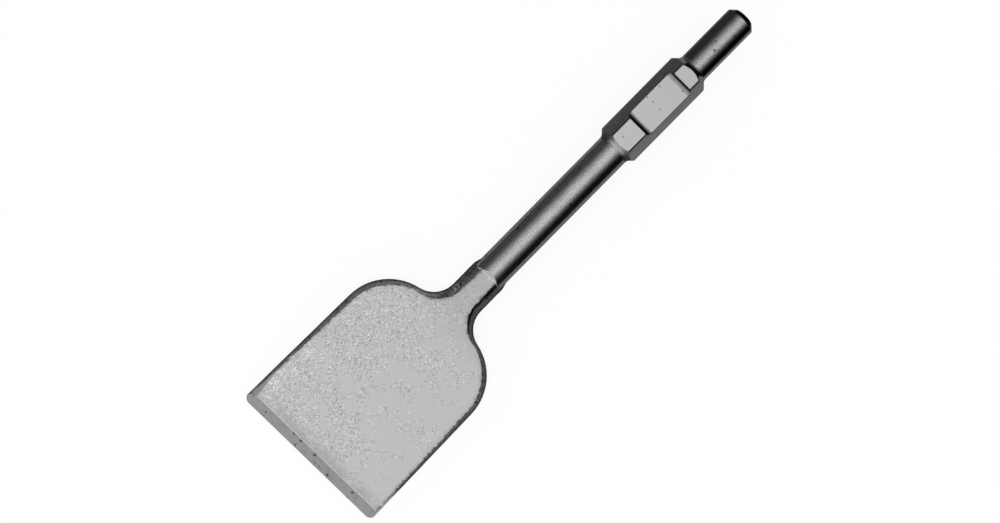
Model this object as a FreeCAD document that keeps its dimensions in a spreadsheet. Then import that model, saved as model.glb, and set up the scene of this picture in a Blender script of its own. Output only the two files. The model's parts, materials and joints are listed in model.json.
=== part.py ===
import FreeCAD, Part
import math
import os

import Sketcher

# Hex shank wide chisel: one piece of tool steel, with a forged blade and neck,
# a turned bar and nose, and a hexagon with a retainer recess between them.
# The body's own frame has +X along the tool, from the cutting edge to the striking end,
# and +Z out of the front face, the side that carries the recess.

# Driving dimensions in millimetres, angles in degrees
driving_sizes = [
    ("overall_length", 460.0, "cutting edge to striking end"),
    ("edge_width", 131.0, "blade width at the cutting edge, on the parting line"),
    ("shoulder_width", 126.8, "blade width where the shoulders start to turn in"),
    ("shoulder_place", 108.2, "cutting edge to the centres of the shoulder arcs"),
    ("shoulder_radius", 41.7, "shoulder arc on the parting line"),
    ("hollow_radius", 20.0, "hollow arc between shoulder and neck, on the parting line"),
    ("neck_width", 29.2, "neck width on the parting line"),
    ("neck_end", 190.9, "cutting edge to the end of the neck's flats"),
    ("neck_run", 5.2, "length over which the neck's sides run down to the bar"),
    ("run_overlap", 3.0, "how far those sides carry on inside the bar"),
    ("flash_land", 1.6, "height of the upright band left where the flash was trimmed"),
    ("side_draft", 31.0, "lean of the blade's side walls from upright"),
    ("neck_draft", 37.0, "lean of the neck's side walls from upright"),
    ("shoulder_ease", 2.0, "by how much the shoulder arc is smaller at the crown"),
    ("hollow_ease", 2.0, "by how much the hollow arc is larger at the crown"),
    ("corner_radius", 5.0, "rounding of the two corners of the cutting edge"),
    ("bevel_length", 8.6, "length of the ground bevels"),
    ("edge_thickness", 1.1, "thickness of the cutting edge"),
    ("heel_thickness", 7.0, "blade thickness at the heel of the bevels"),
    ("neck_thickness", 21.0, "thickness across the flats at the neck's end"),
    ("bar_diameter", 26.0, "round bar between neck and hexagon"),
    ("bar_lead", 1.0, "45 degree lead where the bar comes out of the neck's sides"),
    ("hex_across_flats", 30.0, "hexagon across flats"),
    ("hex_across_corners", 34.0, "turned diameter that trims the hexagon's corners"),
    ("hex_length", 73.0, "length of the hexagon at its corners"),
    ("hex_to_end", 59.4, "hexagon's corners to the striking end"),
    ("hex_root_radius", 5.0, "fillets where the hexagon's turned ends meet bar and nose"),
    ("nose_diameter", 24.0, "round nose that the hammer strikes"),
    ("nose_chamfer", 4.0, "45 degree chamfer round the striking face"),
    ("recess_to_end", 91.3, "middle of the retainer recess to the striking end"),
    ("recess_length", 46.0, "retainer recess between its end walls"),
    ("recess_depth", 4.0, "depth of the recess floor under the hexagon's face"),
    ("recess_radius", 4.5, "hollow radius between the recess floor and its end walls"),
    ("cut_margin", 12.0, "how far the cutting profiles reach past the metal"),
]

doc = FreeCAD.newDocument("hex_shank_wide_chisel")
sheet = doc.addObject("Spreadsheet::Sheet", "sizes")
for row, (alias, value, note) in enumerate(driving_sizes, start=1):
    sheet.set(f"A{row}", note)
    sheet.set(f"B{row}", str(value))
    sheet.setAlias(f"B{row}", alias)
doc.recompute()

body = doc.addObject("PartDesign::Body", "wide_chisel")
body.Label = "wide_chisel"

# Lengths that several features share, as expressions on the sheet
bar_radius = "sizes.bar_diameter / 2"
neck_half = "sizes.neck_width / 2"
flat_height = "sizes.neck_thickness / 2"
heel_height = "sizes.heel_thickness / 2"
land_height = "sizes.flash_land / 2"
crown_height = bar_radius
ramp_end = f"(sizes.neck_end + {bar_radius} - {flat_height})"
hex_high = "(sizes.overall_length - sizes.hex_to_end)"
hex_low = f"({hex_high} - sizes.hex_length)"
hex_half = "sizes.hex_across_flats / 2"
hex_radius = "sizes.hex_across_corners / 2"
bar_root = f"({hex_low} - ({hex_radius} - {bar_radius}))"
nose_radius = "sizes.nose_diameter / 2"
nose_root = f"({hex_high} + {hex_radius} - {nose_radius})"
margin = "sizes.cut_margin"


def number(expression):
    """Value of an expression on the sheet, without its unit."""
    value = body.evalExpression(expression)
    return float(getattr(value, "Value", value))


def new_sketch(name, plane, height="0"):
    """Sketch on one of the body's origin planes, lifted along the plane's normal."""
    sketch = body.newObject("Sketcher::SketchObject", name)
    origin_plane = [item for item in body.Origin.OriginFeatures if item.Role == plane][0]
    sketch.AttachmentSupport = [(origin_plane, "")]
    sketch.MapMode = "FlatFace"
    sketch.setExpression("AttachmentOffset.Base.z", height)
    return sketch


def join(sketch, kind, *references):
    sketch.addConstraint(Sketcher.Constraint(kind, *references))


def bind(sketch, kind, references, expression):
    """Dimension in a sketch that follows an expression on the sheet."""
    index = sketch.addConstraint(Sketcher.Constraint(kind, *references, number(expression)))
    sketch.setExpression(f"Constraints[{index}]", expression)


def fix_point(sketch, geometry, end, across, up):
    """Places a point at two expressions from the origin, or on an axis where one is 0."""
    for kind, axis, expression in (("DistanceX", -2, across), ("DistanceY", -1, up)):
        if expression == "0":
            join(sketch, "PointOnObject", geometry, end, axis)
        else:
            bind(sketch, kind, (-1, 1, geometry, end), expression)


def add_arc(sketch, centre, radius, start, end):
    """Short arc between two points, and which of its ends lies at the first of them."""
    middle = centre + ((start + end) * 0.5 - centre).normalize() * radius
    arc = sketch.addGeometry(Part.Arc(start, middle, end))
    starts_there = (sketch.getPoint(arc, 1) - start).Length < (sketch.getPoint(arc, 2) - start).Length
    return (arc, 1, 2) if starts_there else (arc, 2, 1)


def closed_profile(sketch, corners):
    """Closed outline of straight lines through corners, given as (across, up, radius).

    A corner with a radius gets a tangent arc, and stays in the sketch as a construction point.
    """
    spots = [FreeCAD.Vector(number(across), number(up), 0) for across, up, radius in corners]
    trims = []
    for index, (across, up, radius) in enumerate(corners):
        back = (spots[index - 1] - spots[index]).normalize()
        ahead = (spots[(index + 1) % len(spots)] - spots[index]).normalize()
        trim = number(radius) / math.tan(back.getAngle(ahead) / 2) if radius else 0.0
        trims.append((spots[index] + back * trim, spots[index] + ahead * trim))
    lines = []
    for index, (arriving, leaving) in enumerate(trims):
        following = trims[(index + 1) % len(trims)][0]
        lines.append(sketch.addGeometry(Part.LineSegment(leaving, following)))
    for index, (across, up, radius) in enumerate(corners):
        before, after = lines[index - 1], lines[index]
        if not radius:
            join(sketch, "Coincident", before, 2, after, 1)
            fix_point(sketch, after, 1, across, up)
            continue
        corner = sketch.addGeometry(Part.Point(spots[index]), True)
        fix_point(sketch, corner, 1, across, up)
        join(sketch, "PointOnObject", corner, 1, before)
        join(sketch, "PointOnObject", corner, 1, after)
        arriving, leaving = trims[index]
        inward = ((arriving + leaving) * 0.5 - spots[index]).normalize()
        reach = math.hypot(number(radius), (arriving - spots[index]).Length)
        centre = spots[index] + inward * reach
        arc, first, last = add_arc(sketch, centre, number(radius), arriving, leaving)
        join(sketch, "Tangent", before, 2, arc, first)
        join(sketch, "Tangent", arc, last, after, 1)
        bind(sketch, "Radius", (arc,), radius)


def plan_side(sketch, side, wall):
    """One side of the blade and neck in plan, from past the cutting edge to inside the bar."""
    edge_half = f"(sizes.edge_width / 2 - {wall['side_inset']})"
    neck_side_half = f"({neck_half} - {wall['neck_inset']})"
    arc_height = f"(sizes.shoulder_width / 2 - {wall['side_inset']} - {wall['shoulder']})"
    shoulder_size = number(wall["shoulder"])
    hollow_size = number(wall["hollow"])

    outward = FreeCAD.Vector(0, side, 0)
    shoulder = FreeCAD.Vector(number("sizes.shoulder_place"), side * number(arc_height), 0)
    rise = number(neck_side_half) + hollow_size - number(arc_height)
    reach = math.sqrt((shoulder_size + hollow_size)**2 - rise**2)
    hollow = shoulder + FreeCAD.Vector(reach, side * rise, 0)
    turn = shoulder + outward * shoulder_size
    meeting = shoulder + (hollow - shoulder).normalize() * shoulder_size
    neck_start = hollow - outward * hollow_size
    neck_stop = FreeCAD.Vector(number("sizes.neck_end"), neck_start.y, 0)
    run_stop = FreeCAD.Vector(number(wall["run_end"]), side * number(wall["run_half"]), 0)
    edge_spot = outward * number(edge_half)
    side_start = edge_spot + (edge_spot - turn).normalize() * number(margin)

    blade_line = sketch.addGeometry(Part.LineSegment(side_start, turn))
    shoulder_arc, first, last = add_arc(sketch, shoulder, shoulder_size, turn, meeting)
    hollow_arc, hollow_first, hollow_last = add_arc(sketch, hollow, hollow_size, meeting, neck_start)
    neck_line = sketch.addGeometry(Part.LineSegment(neck_start, neck_stop))
    run_line = sketch.addGeometry(Part.LineSegment(neck_stop, run_stop))
    edge_point = sketch.addGeometry(Part.Point(edge_spot), True)

    join(sketch, "Tangent", blade_line, 2, shoulder_arc, first)
    join(sketch, "Tangent", shoulder_arc, last, hollow_arc, hollow_first)
    join(sketch, "Tangent", hollow_arc, hollow_last, neck_line, 1)
    join(sketch, "Coincident", neck_line, 2, run_line, 1)
    join(sketch, "Horizontal", neck_line)
    join(sketch, "PointOnObject", edge_point, 1, blade_line)
    fix_point(sketch, edge_point, 1, "0", f"{side} * {edge_half}")
    bind(sketch, "DistanceX", (-1, 1, blade_line, 1), f"-{margin}")
    fix_point(sketch, shoulder_arc, 3, "sizes.shoulder_place", f"{side} * {arc_height}")
    bind(sketch, "Radius", (shoulder_arc,), wall["shoulder"])
    bind(sketch, "Radius", (hollow_arc,), wall["hollow"])
    fix_point(sketch, neck_line, 2, "sizes.neck_end", f"{side} * {neck_side_half}")
    fix_point(sketch, run_line, 2, wall["run_end"], f"{side} * {wall['run_half']}")
    return blade_line, side_start, run_line, run_stop


def plan_outline(name, height, wall):
    """Whole plan of the blade and neck at one height."""
    sketch = new_sketch(name, "XY_Plane", height)
    left_blade, left_start, left_run, left_stop = plan_side(sketch, 1, wall)
    right_blade, right_start, right_run, right_stop = plan_side(sketch, -1, wall)
    front_line = sketch.addGeometry(Part.LineSegment(left_start, right_start))
    back_line = sketch.addGeometry(Part.LineSegment(left_stop, right_stop))
    join(sketch, "Coincident", front_line, 1, left_blade, 1)
    join(sketch, "Coincident", front_line, 2, right_blade, 1)
    join(sketch, "Coincident", back_line, 1, left_run, 2)
    join(sketch, "Coincident", back_line, 2, right_run, 2)
    return sketch


least_change = 1.0  # mm3, under which a feature has added or removed nothing


def finish_feature(feature, before, grows):
    """Recomputes a feature and stops if it added or removed nothing."""
    doc.recompute()
    change = feature.Shape.Volume - before
    if (change > 0) is not grows or abs(change) < least_change:
        raise ValueError(f"{feature.Label} changed the volume by {change:.1f}")
    print(f"{feature.Label}: {feature.Shape.Volume / 1000:.2f} cm3")
    return feature.Shape.Volume


def cut_both_ways(name, sketch, length, before):
    """Pocket that reaches equally far to both sides of its sketch."""
    pocket = body.newObject("PartDesign::Pocket", name)
    pocket.Profile = sketch
    pocket.SideType = "Symmetric"
    pocket.setExpression("Length", length)
    return finish_feature(pocket, before, grows=False)


# Forged blade and neck: an upright flash land at the parting line, and above and below it
# walls that lean in, less round the shoulders than along the sides and the neck
wall_height = f"({crown_height} - {land_height})"
run_slope = f"({neck_half} - {bar_radius}) / sizes.neck_run"
neck_lean = f"({wall_height} * tan(sizes.neck_draft * 1 deg))"
parting = {
    "side_inset": "0",
    "neck_inset": "0",
    "shoulder": "sizes.shoulder_radius",
    "hollow": "sizes.hollow_radius",
    "run_end": "sizes.neck_end + sizes.neck_run + sizes.run_overlap",
    "run_half": f"({neck_half} - {run_slope} * (sizes.neck_run + sizes.run_overlap))",
}
crown = {
    "side_inset": f"({wall_height} * tan(sizes.side_draft * 1 deg))",
    "neck_inset": neck_lean,
    "shoulder": "(sizes.shoulder_radius - sizes.shoulder_ease)",
    "hollow": "(sizes.hollow_radius + sizes.hollow_ease)",
    "run_end": "sizes.neck_end + sizes.bar_lead / 2",
    "run_half": f"(({neck_half} - {neck_lean}) / 2)",
}
lower_crown = plan_outline("lower_crown", f"-({crown_height})", crown)
lower_parting = plan_outline("lower_parting", f"-({land_height})", parting)
upper_parting = plan_outline("upper_parting", land_height, parting)
upper_crown = plan_outline("upper_crown", crown_height, crown)
doc.recompute()
forging = body.newObject("PartDesign::AdditiveLoft", "forged_blade")
forging.Profile = lower_crown
forging.Sections = [lower_parting, upper_parting, upper_crown]
forging.Ruled = True
volume = finish_feature(forging, 0.0, grows=True)

# Turned blank of the shank: lead, bar, blank of the hexagon with 45 degree ends, nose, chamfer
turned_profile = new_sketch("turned_profile", "XZ_Plane")
chamfer_start = "sizes.overall_length - sizes.nose_chamfer"
closed_profile(turned_profile, [
    ("sizes.neck_end - sizes.bar_lead", "0", None),
    ("sizes.neck_end - sizes.bar_lead", f"{bar_radius} - sizes.bar_lead", None),
    ("sizes.neck_end", bar_radius, None),
    (bar_root, bar_radius, "sizes.hex_root_radius"),
    (hex_low, hex_radius, None),
    (hex_high, hex_radius, None),
    (nose_root, nose_radius, "sizes.hex_root_radius"),
    (chamfer_start, nose_radius, None),
    ("sizes.overall_length", f"{nose_radius} - sizes.nose_chamfer", None),
    ("sizes.overall_length", "0", None),
])
doc.recompute()
blank = body.newObject("PartDesign::Revolution", "turned_shank")
blank.Profile = turned_profile
blank.ReferenceAxis = (turned_profile, ["H_Axis"])
blank.Angle = 360
volume = finish_feature(blank, volume, grows=True)

# Ground bevels, the blade's wedge and the flats of the neck, up to a 45 degree ramp
# that runs out on the bar
side_profile = new_sketch("side_profile", "XZ_Plane")
above = f"{crown_height} + {margin}"
past_ramp = f"{ramp_end} + {margin}"
closed_profile(side_profile, [
    (f"-2 * {margin}", above, None),
    (past_ramp, above, None),
    ("sizes.neck_end", flat_height, None),
    ("sizes.bevel_length", heel_height, None),
    ("0", "sizes.edge_thickness / 2", None),
    ("0", "-sizes.edge_thickness / 2", None),
    ("sizes.bevel_length", f"-({heel_height})", None),
    ("sizes.neck_end", f"-({flat_height})", None),
    (past_ramp, f"-({above})", None),
    (f"-2 * {margin}", f"-({above})", None),
])
volume = cut_both_ways("wedge_faces", side_profile, f"sizes.edge_width + 2 * {margin}", volume)

# Rounded corners of the cutting edge
corner_profile = new_sketch("corner_profile", "XY_Plane")
for side in (1, -1):
    edge_half = f"{side} * sizes.edge_width / 2"
    closed_profile(corner_profile, [
        ("0", f"{edge_half} - {side} * 2 * sizes.corner_radius", None),
        ("0", edge_half, "sizes.corner_radius"),
        ("2 * sizes.corner_radius", edge_half, None),
        ("2 * sizes.corner_radius", f"{edge_half} + {side} * {margin}", None),
        (f"-{margin}", f"{edge_half} + {side} * {margin}", None),
        (f"-{margin}", f"{edge_half} - {side} * 2 * sizes.corner_radius", None),
    ])
volume = cut_both_ways("edge_corners", corner_profile, "2 * sizes.heel_thickness", volume)

# Six flats, cut from the turned blank by the ring round a hexagon
flats_profile = new_sketch("flats_profile", "YZ_Plane", f"({bar_root} + {nose_root}) / 2")
across_half = "sizes.hex_across_flats / sqrt(3)"
closed_profile(flats_profile, [
    (across_half, "0", None),
    (f"{across_half} / 2", hex_half, None),
    (f"-{across_half} / 2", hex_half, None),
    (f"-{across_half}", "0", None),
    (f"-{across_half} / 2", f"-{hex_half}", None),
    (f"{across_half} / 2", f"-{hex_half}", None),
])
ring = flats_profile.addGeometry(Part.Circle(FreeCAD.Vector(), FreeCAD.Vector(0, 0, 1),
                                             number(f"{hex_radius} + {margin}")))
join(flats_profile, "Coincident", ring, 3, -1, 1)
bind(flats_profile, "Radius", (ring,), f"{hex_radius} + {margin}")
volume = cut_both_ways("hex_flats", flats_profile, f"{nose_root} - {bar_root}", volume)

# Retainer recess across the hexagon's front face
recess_profile = new_sketch("recess_profile", "XZ_Plane")
recess_low = "sizes.overall_length - sizes.recess_to_end - sizes.recess_length / 2"
recess_high = "sizes.overall_length - sizes.recess_to_end + sizes.recess_length / 2"
recess_floor = f"{hex_half} - sizes.recess_depth"
closed_profile(recess_profile, [
    (recess_low, recess_floor, "sizes.recess_radius"),
    (recess_high, recess_floor, "sizes.recess_radius"),
    (recess_high, f"{hex_half} + {margin}", None),
    (recess_low, f"{hex_half} + {margin}", None),
])
volume = cut_both_ways("retainer_recess", recess_profile, "2 * sizes.hex_across_corners", volume)

# The tool lies face up as it comes to rest: on the lower bevel's heel and on the first
# point of the shank that the floor meets, with its box's bottom centre at the origin
floor_points = [
    (number(ramp_end), number(bar_radius)),
    (number(f"{hex_low} - ({hex_radius} - {hex_half})"), number(hex_half)),
]
heel = (number("sizes.bevel_length"), number(heel_height))
slope = max((depth - heel[1]) / (along - heel[0]) for along, depth in floor_points)
lift = FreeCAD.Rotation(FreeCAD.Vector(0, 1, 0), -math.degrees(math.atan(slope)))
body.Placement = FreeCAD.Placement(FreeCAD.Vector(), lift)
doc.recompute()
box = body.Shape.optimalBoundingBox(False)
bottom_centre = FreeCAD.Vector(box.Center.x, box.Center.y, box.ZMin)
body.Placement = FreeCAD.Placement(-bottom_centre, lift)
doc.recompute()

for item in doc.Objects:
    if "Invalid" in item.State or "Error" in item.State:
        raise ValueError(f"{item.Label} did not recompute: {item.State}")
if body.Shape.isNull() or not body.Shape.isValid() or len(body.Shape.Solids) != 1:
    raise ValueError("the chisel is not one valid solid")

os.makedirs("parts", exist_ok=True)
body.Shape.exportStep("parts/wide_chisel.step")
print(f"wide_chisel: {body.Shape.Volume / 1000:.1f} cm3, {len(body.Shape.Faces)} faces, box {box}")
print(f"rest: lifted {math.degrees(math.atan(slope)):.2f} degrees, placement {body.Placement}")
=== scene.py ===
import json
import math

import bmesh
import bpy
from mathutils import Matrix, Vector


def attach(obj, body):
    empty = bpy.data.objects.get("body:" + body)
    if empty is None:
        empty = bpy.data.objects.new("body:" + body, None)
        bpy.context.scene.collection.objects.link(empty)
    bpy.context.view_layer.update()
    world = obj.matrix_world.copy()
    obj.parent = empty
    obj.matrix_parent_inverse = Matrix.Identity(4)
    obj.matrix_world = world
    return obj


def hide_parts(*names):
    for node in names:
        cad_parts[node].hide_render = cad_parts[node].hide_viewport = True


# Wide chisel with a hexagon shank: one forging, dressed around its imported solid.
# It lies face up on a pale floor. Where nothing else is said, lengths are millimetres in
# the tool's own frame: x from the cutting edge, y across, z out of the face with the recess.

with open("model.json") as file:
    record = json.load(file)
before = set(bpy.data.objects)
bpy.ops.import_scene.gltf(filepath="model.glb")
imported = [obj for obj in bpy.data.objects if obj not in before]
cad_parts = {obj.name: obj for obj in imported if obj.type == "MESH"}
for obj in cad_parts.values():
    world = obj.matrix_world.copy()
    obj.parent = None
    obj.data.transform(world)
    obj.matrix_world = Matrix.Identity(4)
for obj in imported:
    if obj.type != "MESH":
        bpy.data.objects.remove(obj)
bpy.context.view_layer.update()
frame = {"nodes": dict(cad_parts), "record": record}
mm = 0.001

tool = {
    "overallLength": 460.0,
    "bevelLength": 8.6,
    "flashLand": 1.6,
    "neckEnd": 190.9,
    "runEnd": 199.2,
    "barRadius": 13.0,
    "hexLow": 327.6,         # the hexagon at its corners
    "hexHigh": 400.6,
    "hexHalf": 15.0,
    "hexCorner": 17.0,
    "rootFillet": 5.0,
    "recessLow": 345.7,
    "recessHigh": 391.7,
    "heelHeight": 3.5,       # the blade's faces above its middle plane, at the bevel
    "flatHeight": 10.5,      # and at the neck's end
    "noseRadius": 12.0,
    "noseChamfer": 4.0,
}
wedgeRise = (tool["flatHeight"] - tool["heelHeight"]) / (tool["neckEnd"] - tool["bevelLength"])

# The tool's own frame, from the mounts on its striking face and its recess floor
mounts = {mount["name"]: mount for mount in frame["record"]["mounts"]}
along = Vector(mounts["striking_face"]["axis"]).normalized()
front = Vector(mounts["recess_floor"]["axis"]).normalized()
across = front.cross(along)
edgeCentre = Vector(mounts["striking_face"]["pos_m"]) - along * tool["overallLength"] * mm
toolToRow = Matrix((along, across, front)).transposed().to_4x4() @ Matrix.Scale(mm, 4)
toolToRow.translation = edgeCentre
rowToTool = toolToRow.inverted()
print("frame loaded, the cutting edge's centre is at", [round(c, 4) for c in edgeCentre])


# Node trees

class Wire:
    # an output socket, so that masks and lengths are written as sums and products
    def __init__(self, tree, socket):
        self.tree, self.socket = tree, socket

    def maths(self, operation, *others):
        values = dict(enumerate((self, *others)))
        return self.tree.node("ShaderNodeMath", {"operation": operation}, values)

    def __add__(self, other):
        return self.maths("ADD", other)

    def __sub__(self, other):
        return self.maths("SUBTRACT", other)

    def __rsub__(self, other):
        return self.tree.node("ShaderNodeMath", {"operation": "SUBTRACT"}, {0: other, 1: self})

    def __mul__(self, other):
        return self.maths("MULTIPLY", other)

    def __truediv__(self, other):
        return self.maths("DIVIDE", other)

    def __rtruediv__(self, other):
        return self.tree.node("ShaderNodeMath", {"operation": "DIVIDE"}, {0: other, 1: self})

    def __pow__(self, other):
        return self.maths("POWER", other)

    def __abs__(self):
        return self.maths("ABSOLUTE")

    __radd__ = __add__
    __rmul__ = __mul__


class Tree:
    # a node tree that is built one node at a time
    def __init__(self, tree):
        self.tree = tree
        self.tree.nodes.clear()

    def node(self, kind, settings=None, values=None, result=0):
        made = self.tree.nodes.new(kind)
        for name, setting in (settings or {}).items():
            setattr(made, name, setting)
        for key, value in (values or {}).items():
            self.feed(made.inputs[key], value)
        return Wire(self, made.outputs[result]) if made.outputs else made

    def feed(self, socket, value):
        if isinstance(value, Wire):
            self.tree.links.new(value.socket, socket)
        else:
            socket.default_value = value

    def step(self, value, low, high):
        # 0 at low, 1 at high, smooth between
        return self.node("ShaderNodeMapRange", {"interpolation_type": "SMOOTHSTEP"}, {
            "Value": value, "From Min": low, "From Max": high, "To Min": 0.0, "To Max": 1.0,
        })

    def vectorMaths(self, operation, *values, result=0):
        return self.node("ShaderNodeVectorMath", {"operation": operation}, dict(enumerate(values)), result)

    def part(self, vector, axis):
        return self.node("ShaderNodeSeparateXYZ", None, {0: vector}, axis)

    def seenDirectly(self):
        # 1 for what the camera sees, and what metal and glass show
        kinds = ("Is Camera Ray", "Is Glossy Ray", "Is Transmission Ray")
        camera, glossy, through = (self.node("ShaderNodeLightPath", result=kind) for kind in kinds)
        return camera, (glossy + through).maths("MINIMUM", 1.0)


class Finish(Tree):
    # one procedural material
    def __init__(self, name):
        self.material = bpy.data.materials.new(name)
        self.material.use_nodes = True
        super().__init__(self.material.node_tree)

    def surface(self, shader):
        self.node("ShaderNodeOutputMaterial", None, {"Surface": shader})
        return self.material

    def place(self, stretch=(1.0, 1.0, 1.0)):
        # object coordinates turned into the tool's own frame, in millimetres
        spot = self.node("ShaderNodeTexCoord", result="Object")
        turned = self.node("ShaderNodeMapping", {"vector_type": "POINT"}, {
            "Vector": spot,
            "Location": rowToTool.translation,
            "Rotation": rowToTool.to_3x3().normalized().to_euler(),
            "Scale": (1 / mm, 1 / mm, 1 / mm),
        })
        return turned if stretch == (1.0, 1.0, 1.0) else self.vectorMaths("MULTIPLY", turned, stretch)

    def noise(self, size, detail=2.0, roughness=0.5, distortion=0.0, stretch=(1.0, 1.0, 1.0)):
        # soft noise whose lumps are about this many millimetres across
        return self.node("ShaderNodeTexNoise", None, {
            "Vector": self.place(stretch),
            "Scale": 1 / size,
            "Detail": detail,
            "Roughness": roughness,
            "Distortion": distortion,
        })

    def pits(self, width, spacing):
        # 1 in small round pits, wherever a scattered point lies close to the surface
        points = {"Vector": self.place(), "Scale": 1 / spacing}
        far = self.node("ShaderNodeTexVoronoi", None, points, "Distance")
        ragged = far * spacing + (self.noise(0.6 * width) - 0.5) * width
        return self.step(ragged, 0.65 * width, 0.3 * width)

    def blend(self, factor, first, second, kind="MIX"):
        settings = {"data_type": "RGBA", "blend_type": kind}
        return self.node("ShaderNodeMix", settings, {0: factor, 6: first, 7: second}, 2)

    def bump(self, height, depth, before=None):
        values = {"Height": height, "Strength": 1.0, "Distance": depth * mm}
        if before is not None:
            values["Normal"] = before
        return self.node("ShaderNodeBump", None, values)

    def steel(self, colour, roughness, normal, metallic=1.0, tint=1.0):
        return self.surface(self.node("ShaderNodeBsdfPrincipled", None, {
            "Specular Tint": grey(tint),
            "Base Color": colour,
            "Roughness": roughness,
            "Metallic": metallic,
            "Normal": normal,
        }))


def grey(level):
    return (level, level, level, 1.0)


# Finishes

wear = {                     # sunk strip where the face meets its left side, by the bevel
    "inner": 58.5,           # its inner border at the cutting edge, from the middle
    "slope": 0.11,           # how far the border runs outwards for each millimetre along
    "wander": 0.9,           # how far it strays from a straight line
    "blur": 0.3,             # half the width over which it fades
    "end": (46.0, 30.0),     # places along the tool at which the strip is gone, and full
    "fall": 0.32,            # how steeply it falls outwards
    "shade": 0.16,
    "dentFrom": (0.5, 0.42),     # levels of the noise at which dents begin, and are full
    "dentReach": (0.9, 0.3),     # distances from the border at which they are gone, and full
    "dentShare": 0.7,
}

wornEdge = {                 # bright worn line on both sides of the bevel's heel
    "core": 0.3,             # share of its half width that is fully worn
    "nickSize": 1.6,
    "nickFrom": (0.36, 0.44),
}

blasted = {
    "plain": 0.276,
    "pale": 0.437,           # light specks
    "paleFrom": (0.48, 0.66),
    "dark": 0.12,            # dark specks
    "darkFrom": (0.52, 0.34),
    "speckSize": 1.4375,
    "fineSize": 1.125,
    "lumpSize": 4.0,
    "depth": 0.05,           # of specks and lumps
    "calmSize": 13.0,        # size of the calmer patches between the specks
    "calmFrom": (0.49, 0.64),
    "calmShare": 0.11,       # how much speckle is left in them
    "calmLean": 0.2,         # more speckle towards the left
    "leanReach": (-40.0, 30.0),
    "neck": 0.835,           # level of the neck's flats against the blade's faces
    "neckReach": (125.0, 165.0),
    "neckCalm": 0.4,         # how much less speckle they have
    "scuffAside": (38.0, 56.0),  # scuffed patch by the left corner, across and along
    "scuffAlong": (80.0, 45.0),
    "scuffDark": 0.3,
    "flake": 0.50255,
    "flakeMix": (0.4, 0.6),  # how much of lumps and of specks makes a flake
    "flakeFrom": (0.52, 0.62),
    "flakeShare": 0.6,
    "shade": 0.19,           # darker mottling beside the bevel
    "shadeReach": 12.0,
    "shadeShares": (0.15, 0.45, 0.4),    # even, in patches and in mottles
    "patchSize": 9.0,
    "patchFrom": (0.4, 0.56),
    "mottleSize": 2.0,
    "mottleFrom": (0.42, 0.6),
    "pit": 0.1,
    "pits": (1.1, 12.0),     # width and spacing
    "pitShare": 0.7,
    "chip": 0.07,            # chipped rims
    "chipDepth": (0.36, 0.56),   # depths under the plain face at which it begins, and is full
    "chipWander": 0.5,
    "chipShare": 0.85,
    "chipStop": 3.0,         # length before the neck's end over which it stops
    # pale level of the worn line by the bevel's heel, also painted as a highlight on the neck's ramp
    "worn": 0.4,
    "edgeWear": 0.4,         # half width of the worn line
    "rampHighlightReach": (-1.2, 0.4),    # places round the neck's end at which the ramp's painted highlight begins, and is full
    "rampHighlightWander": 2.0,
    "rampHighlightShare": 0.4,
    "metallic": 0.75,
    "roughness": 0.5,
    "roughnessSpread": 0.25,
}


def plainFace(x):
    # height of the blade's and the neck's plain faces over the middle plane, as a wire
    return tool["heelHeight"] + wedgeRise * (x - tool["bevelLength"]).maths("MAXIMUM", 0.0)


def wornLine(finish, away, width):
    # 1 on a line along an edge, broken by nicks
    line = finish.step(away, width, wornEdge["core"] * width)
    return line * finish.step(finish.noise(wornEdge["nickSize"], roughness=0.6), *wornEdge["nickFrom"])


def speckled(finish, along, aside, speck, lump):
    # light and dark specks with calmer patches between them, and a scuffed corner
    fine = finish.noise(blasted["fineSize"], roughness=0.6, distortion=1.6)
    lean = blasted["calmLean"] * finish.step(aside, *blasted["leanReach"])
    calm = finish.noise(blasted["calmSize"], roughness=0.55) + lean
    onNeck = finish.step(along, *blasted["neckReach"])
    busy = blasted["calmShare"] + (1 - blasted["calmShare"]) * finish.step(calm, *blasted["calmFrom"])
    busy = busy * (1 - blasted["neckCalm"] * onNeck)
    colour = finish.blend(onNeck, grey(blasted["plain"]), grey(blasted["neck"] * blasted["plain"]))
    colour = finish.blend(finish.step(speck, *blasted["paleFrom"]) * busy, colour, grey(blasted["pale"]))
    scuffed = finish.step(aside, *blasted["scuffAside"]) * finish.step(along, *blasted["scuffAlong"])
    specked = (busy + blasted["scuffDark"] * scuffed).maths("MINIMUM", 1.0)
    colour = finish.blend(finish.step(fine, *blasted["darkFrom"]) * specked, colour, grey(blasted["dark"]))
    ofLump, ofSpeck = blasted["flakeMix"]
    flake = finish.step(lump * ofLump + speck * ofSpeck, *blasted["flakeFrom"])
    return finish.blend(scuffed * flake * blasted["flakeShare"], colour, grey(blasted["flake"]))


def bevelShade(finish, along):
    # how much of the darker mottling shows
    near = finish.step(along, tool["bevelLength"] + blasted["shadeReach"], tool["bevelLength"])
    patch = finish.step(finish.noise(blasted["patchSize"]), *blasted["patchFrom"])
    mottle = finish.step(finish.noise(blasted["mottleSize"], 3.0, 0.7), *blasted["mottleFrom"])
    even, patchy, mottled = blasted["shadeShares"]
    return near * (even + patchy * patch + mottled * mottle)


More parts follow.
